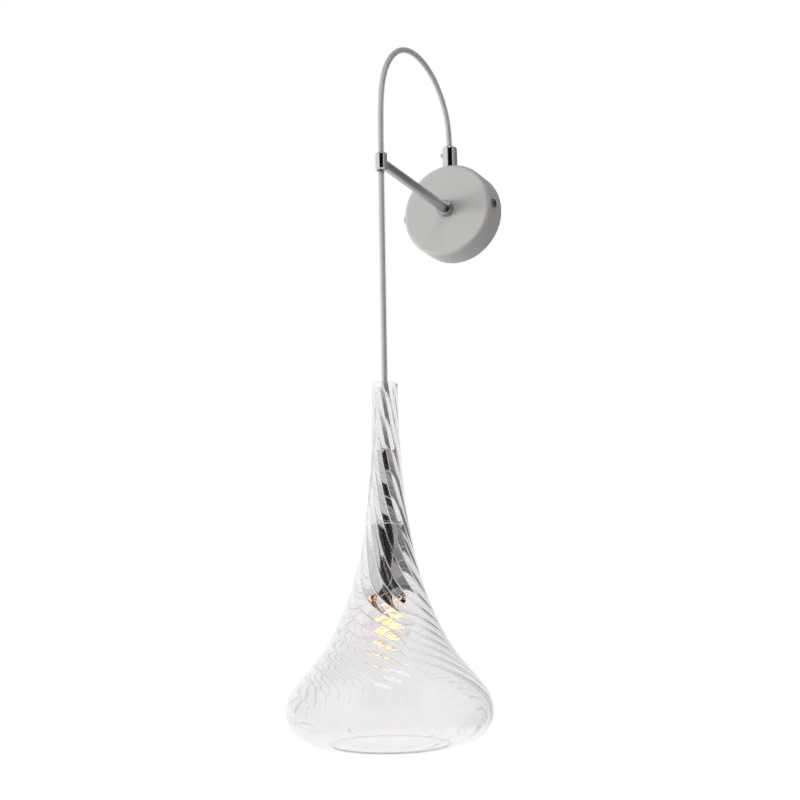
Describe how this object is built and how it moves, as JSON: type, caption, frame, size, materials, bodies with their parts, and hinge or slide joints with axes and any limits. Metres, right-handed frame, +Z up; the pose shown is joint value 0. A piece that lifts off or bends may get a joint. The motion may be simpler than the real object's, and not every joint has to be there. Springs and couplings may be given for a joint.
{
  "type": "hanging pendant wall sconce",
  "caption": "Wall light: a round rose and a level arm carry a cord that arches over the arm and hangs a bell of clear swirled glass round a glowing screw-cap bulb.",
  "frame": {"origin": "centre of the rose's back, on the wall, midway between the two wall slots", "axes": "+Z up, +Y into the wall, the room at -Y, +X to the right for someone who faces the wall"},
  "size_m": [0.1948, 0.2732, 0.7352],
  "materials": {
    "rose_paint": "matt fine-textured powder coat, warm light grey",
    "chrome": "polished chrome plate",
    "zinc": "zinc-plated steel",
    "nylon": "natural nylon",
    "cord_jacket": "clear jacket over tinned braid",
    "terminal_plastic": "white moulded plastic",
    "brass": "turned brass",
    "core_brown": "brown core insulation",
    "core_blue": "blue core insulation",
    "core_earth": "green and yellow core insulation",
    "holder_plastic": "white lampholder insulator",
    "aluminium": "rolled aluminium",
    "solder": "dull solder",
    "bulb_cap_metal": "rolled cap",
    "cap_glass": "black glass insulator",
    "bulb_glass": "clear thin glass",
    "filament": "glowing filament",
    "support_wire": "drawn wire",
    "shade_glass": "clear hand-blown glass with swirled optic ribs",
    "seat_rubber": "translucent silicone"
  },
  "bodies": {
    "wall_fixture": {"wall_bracket": "zinc", "rose_cover": "rose_paint", "cover_screws": "chrome", "arm_collar": "chrome", "arm_rod": "chrome", "arm_stud": "zinc", "arm_washer": "zinc", "arm_nut": "zinc", "arm_sleeve": "chrome", "cable_gland": "chrome", "gland_grub_screw": "nylon", "gland_locknut": "zinc", "cord_tail": "cord_jacket", "cord_arch": "cord_jacket", "terminal_block": "terminal_plastic", "terminal_inserts": "brass", "terminal_screws": "zinc", "terminal_fixing_screw": "zinc", "lead_brown": "core_brown", "lead_blue": "core_blue", "lead_earth": "core_earth", "earth_washer": "zinc", "earth_screw": "zinc"},
    "cord_joint": {"cord_bend": "cord_jacket"},
    "pendant": {"cord_drop": "cord_jacket", "cord_grip": "chrome", "grip_screw": "zinc", "stem_tube": "chrome", "holder_nipple": "zinc", "holder_cup": "chrome", "cup_nut": "zinc", "holder_insulator": "holder_plastic", "holder_thread_shell": "aluminium", "holder_centre_contact": "brass", "holder_side_contact": "brass", "holder_terminal_screws": "zinc", "holder_leads": "core_brown"},
    "glass_seat": {"seat_ring": "seat_rubber"},
    "shade": {"glass_shade": "shade_glass"},
    "bulb_tip": {"bulb_contact": "solder"},
    "bulb": {"bulb_cap": "bulb_cap_metal", "bulb_cap_insulator": "cap_glass", "bulb_glass": "bulb_glass", "bulb_mount": "bulb_glass", "bulb_filament": "filament", "bulb_support_wires": "support_wire"}
  },
  "joints": [
    {"name": "swing_fore_aft", "type": "hinge", "parent": "wall_fixture", "child": "cord_joint", "pos_m": [0, -0.1758, -0.0087], "axis": [1, 0, 0], "range_deg": [-25, 8]},
    {"name": "swing_sideways", "type": "hinge", "parent": "cord_joint", "child": "pendant", "pos_m": [0, -0.1758, -0.0087], "axis": [0, 1, 0], "range_deg": [-25, 25]},
    {"name": "shade_turn", "type": "hinge", "parent": "pendant", "child": "glass_seat", "pos_m": [0, -0.1758, -0.3737], "axis": [0, 0, 1], "continuous": true},
    {"name": "shade_lift", "type": "slide", "parent": "glass_seat", "child": "shade", "axis": [0, 0, 1], "range_m": [0, 0.205]},
    {"name": "bulb_travel", "type": "slide", "parent": "pendant", "child": "bulb_tip", "axis": [0, 0, -1], "range_m": [0, 0.0145]},
    {"name": "bulb_turn", "type": "hinge", "parent": "bulb_tip", "child": "bulb", "pos_m": [0, -0.1758, -0.44], "axis": [0, 0, -1], "range_deg": [0, 1440]}
  ],
  "couplings": [
    {"joint": "bulb_travel", "follows": "bulb_turn", "m_per_rad": 0.00057614}
  ]
}
